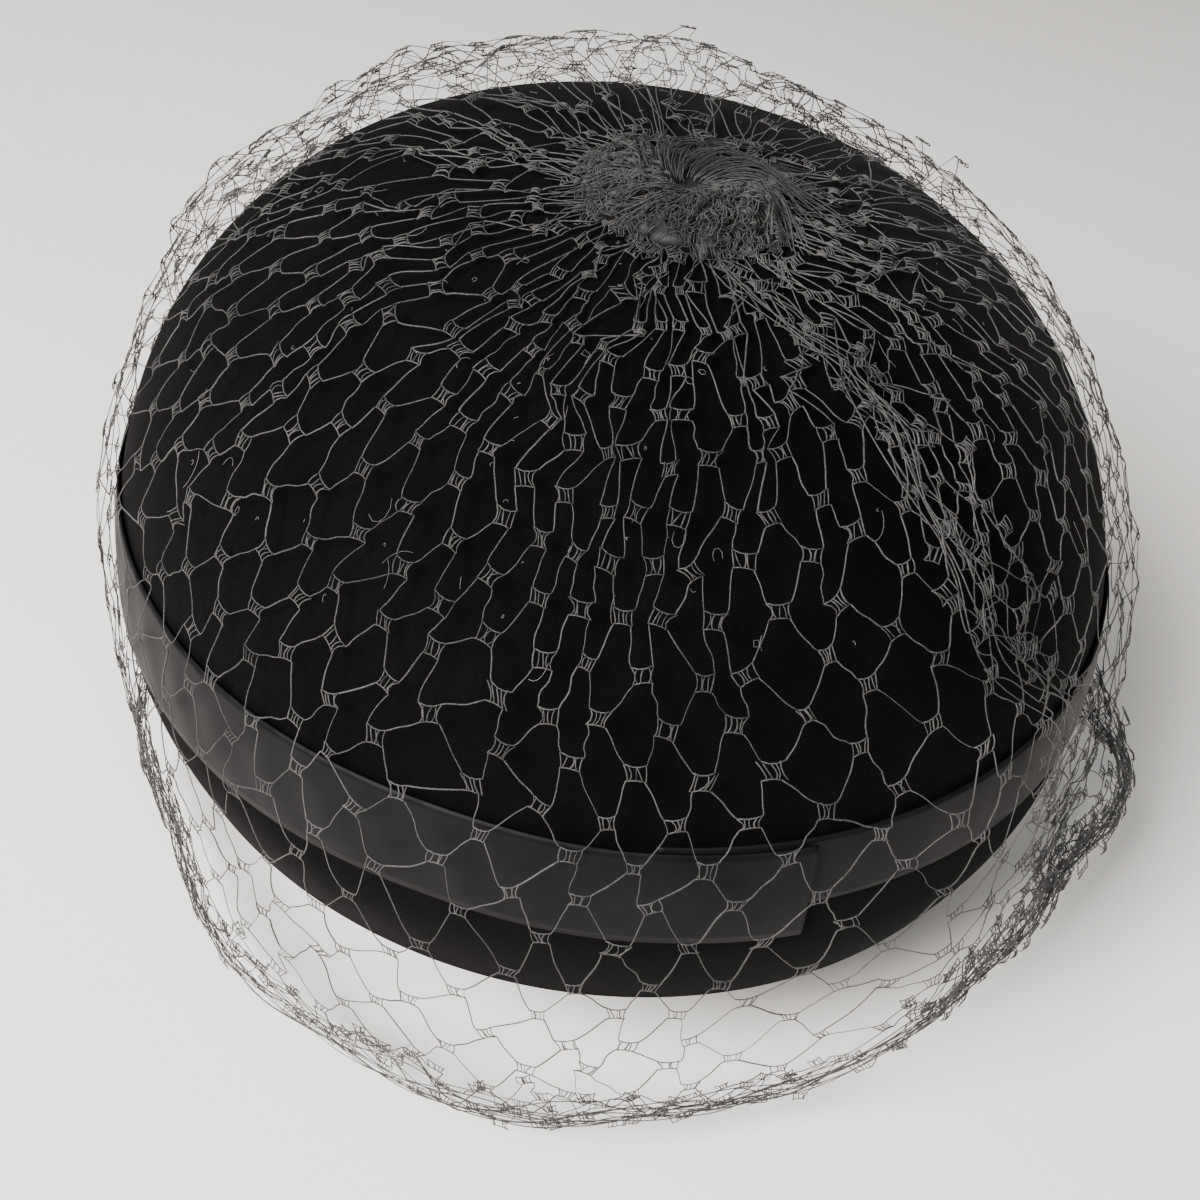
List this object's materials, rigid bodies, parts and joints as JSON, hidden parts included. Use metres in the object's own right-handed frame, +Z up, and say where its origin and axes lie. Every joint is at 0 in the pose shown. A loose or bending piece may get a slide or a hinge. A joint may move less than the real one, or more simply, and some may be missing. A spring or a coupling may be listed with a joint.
{
  "type": "pillbox hat",
  "caption": "Domed black velvet pillbox hat with a satin ribbon round its wall and a coarse net veil gathered to a knot on the crown.",
  "frame": {"origin": "centre of the head opening, in the plane of the crown's rim", "axes": "+Z up through the crown, +Y the way the wearer looks, -Y the centre back where the ribbon laps, +X the wearer's right"},
  "size_m": [0.2182, 0.2315, 0.1572],
  "materials": {
    "velvet": "short black velvet pile",
    "satin": "charcoal satin ribbon",
    "net_thread": "knotted dark grey thread",
    "gathered_net": "dense folds of dark grey net"
  },
  "bodies": {
    "root": {"crown": "velvet", "ribbon_band": "satin", "veil": "net_thread", "veil_gather": "gathered_net"}
  },
  "joints": []
}
